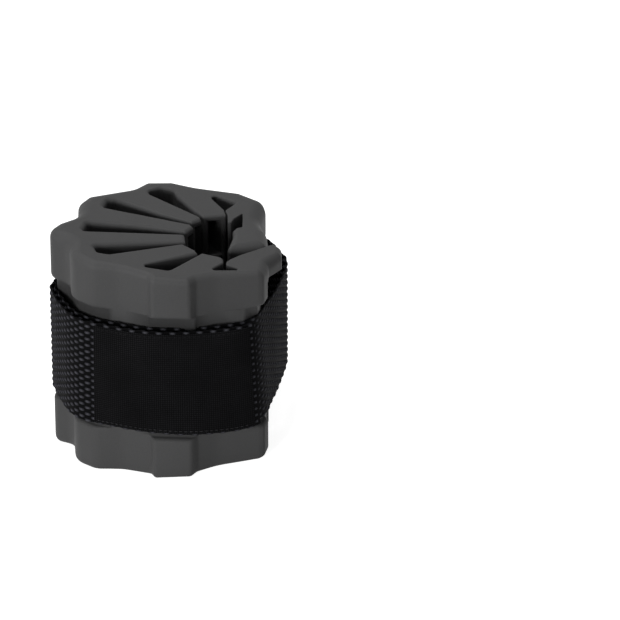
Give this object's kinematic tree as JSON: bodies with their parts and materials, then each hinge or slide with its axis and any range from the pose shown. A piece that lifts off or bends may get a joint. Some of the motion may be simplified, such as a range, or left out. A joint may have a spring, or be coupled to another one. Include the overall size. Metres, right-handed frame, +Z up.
{
  "type": "bike frame protector pad",
  "caption": "Lobed rubber pad with a slotted body and a slanting mouth, held round a bike frame tube by a webbing strap with a woven label.",
  "frame": {"origin": "a point on the flat foot face, between two slots near the middle of the body", "axes": "+Z up from the foot face along the tube, +X towards the side that the mouth opens on, +Y away from the label"},
  "size_m": [0.1101, 0.1071, 0.1077],
  "materials": {
    "pad_rubber": "matt",
    "webbing": "woven",
    "loop_pile": "pile",
    "hook_face": "hooked",
    "label_weave": "fine weave"
  },
  "bodies": {
    "root": {"pad_body": "pad_rubber", "strap_webbing": "webbing", "loop_tape": "loop_pile", "hook_tape": "hook_face", "label_patch": "label_weave"}
  },
  "joints": []
}
